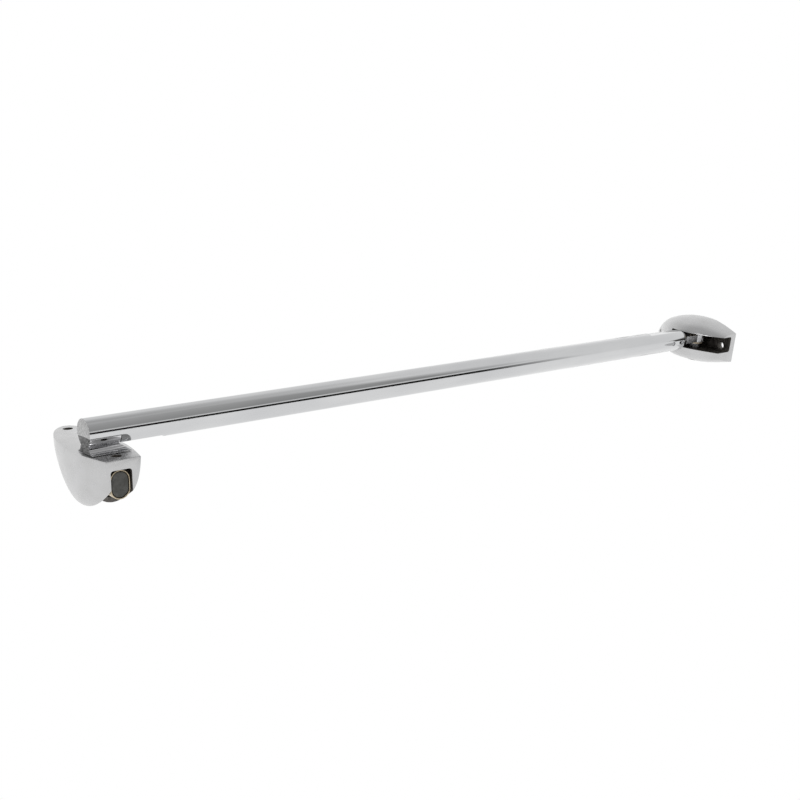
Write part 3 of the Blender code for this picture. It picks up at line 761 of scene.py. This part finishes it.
def make_saddle():
    """Sawn length of profile with its key, the lock pin's bore, the screws' taps and a sloped end."""
    saddle = prism("polished_saddle", saddle_outline(), "X", SADDLE_LOW.x, SADDLE_HIGH.x - SADDLE_LOW.x)
    low, high = SLIDE_X - KEY_LENGTH / 2, SLIDE_X + KEY_LENGTH / 2
    stem, head = KEY_STEM / 2, KEY_HEAD / 2
    joins = [
        box("key_stem", (low, -stem, LAP_Z - MARGIN), (high, stem, KEY_STEM_TOP + KEY_OVERLAP)),
        box("key_head", (low, -head, KEY_STEM_TOP + GAP), (high, head, KEY_HEAD_TOP)),
    ]
    cuts = [rod("lock_bore", (SLIDE_X, 0, -BAR_D), (0, 0, 1), 2 * BAR_D, LOCK_PIN_R + GAP)]
    cuts += [rod("tap", (SLIDE_X, y, -BAR_D), (0, 0, 1), BAR_D + SCREW_TIP_Z + GAP, SCREW_R + GAP)
             for y in SCREW_Y]
    beyond = SADDLE_HIGH.x + REACH
    slope = ((SADDLE_LENGTH, REACH), (SADDLE_LENGTH, SLOPE_TOP_Z), (SADDLE_HIGH.x, SLOPE_FOOT_Z),
             (beyond, SLOPE_FOOT_Z), (beyond, REACH))
    cuts.append(prism("slope", slope, "Y", -BAR_D, 2 * BAR_D))
    carve(saddle, cuts, joins)
    soften(saddle, SADDLE_EDGE, segments=2)
    # The saddle's end faces get the darker sawn copy, which is painted shade.
    dress(saddle, SADDLE_CHROME, SAWN_PAINTED_SHADE)
    for face in saddle.data.polygons:
        if abs(face.normal.x) > END_COSINE:
            face.material_index = 1
    finish_mesh(saddle)
    stand_in(saddle, "saddle_rail", "slider")


# ---------------------------------------------------------------- button

def oval_loft(name, centre, half, profile, closed=False):
    """Loft of upright slot outlines; profile holds (inset from the outside, depth along +Y)."""
    bm = bmesh.new()
    rings = []
    for inset, depth in profile:
        outline = stadium(2 * OVAL_RISE, half - inset, steps=24)
        rings.append([bm.verts.new((centre.x + b, centre.y + depth, centre.z + a)) for a, b in outline])
    pairs = list(zip(rings, rings[1:])) + ([(rings[-1], rings[0])] if closed else [])
    for first, second in pairs:
        for j in range(len(first)):
            k = (j + 1) % len(first)
            bm.faces.new((first[j], first[k], second[k], second[j]))
    if not closed:
        bm.faces.new(rings[0])
        bm.faces.new(rings[-1])
    return solid(bm, name)


def make_button():
    """Shallow dished face with a rolled edge."""
    middle = (BUTTON_LOW + BUTTON_HIGH) / 2
    quarter = [math.radians(90 / BUTTON_EDGE_TURNS * k) for k in range(1, BUTTON_EDGE_TURNS + 1)]
    profile = [(BUTTON_HALF * (1 - share), DISH_DEPTH * (1 - share ** 3)) for share in DISH_SHARES]
    profile += [(BUTTON_EDGE_R * (1 - math.sin(a)), BUTTON_EDGE_R * (1 - math.cos(a)) + BUTTON_EDGE_STEP)
                for a in quarter]
    profile += [(0.0, BUTTON_HIGH.y - BUTTON_LOW.y)]
    button = oval_loft("button_face", Vector((middle.x, BUTTON_LOW.y, middle.z)), BUTTON_HALF, profile)
    dress(button, BUTTON)
    finish_mesh(button, angle=45)
    stand_in(button, "push_button", "button")


def make_sleeve():
    """Thin oval ring with a rounded lip."""
    middle = (BUTTON_LOW + BUTTON_HIGH) / 2
    outer = (SLEEVE_HIGH.x - SLEEVE_LOW.x) / 2
    wall = outer - BUTTON_HALF - GAP
    length = SLEEVE_HIGH.y - SLEEVE_LOW.y
    centre = Vector((middle.x, SLEEVE_LOW.y, middle.z))
    profile = [(0.0, length)]
    profile += [(wall / 2 * (1 - math.cos(a)), wall / 2 * (1 - math.sin(a)))
                for a in (math.radians(180 / SLEEVE_LIP_TURNS * k) for k in range(SLEEVE_LIP_TURNS + 1))]
    profile += [(wall, length)]
    sleeve = oval_loft("brass_sleeve", centre, outer, profile, closed=True)
    dress(sleeve, BRASS)
    finish_mesh(sleeve, angle=45)
    stand_in(sleeve, "button_sleeve", "slider")


def finish_carried_nodes():
    """Materials for the frame nodes that no piece replaces."""
    looks = {
        HINGE_STEEL: ("hinge_tongue",),
        BRASS: ("tongue_bush", "thrust_washer_upper", "thrust_washer_lower"),
        SPRING_STEEL: ("button_spring",),
        STEEL: ("pivot_pin", "spacer_lower", "tongue_pin_outer", "tongue_pin_inner",
                "saddle_screw_front", "saddle_screw_back", "spring_plate", "cam_plate", "lock_pin",
                "lock_cross_pin"),
    }
    for material, names in looks.items():
        for name in names:
            for slot in frame["nodes"][name].material_slots:
                slot.material = material


make_camera()
make_world()
make_stage()
make_key_light()
bpy.context.scene.view_settings.view_transform = "Standard"
make_castings()
make_bar()
make_saddle()
make_button()
make_sleeve()
finish_carried_nodes()
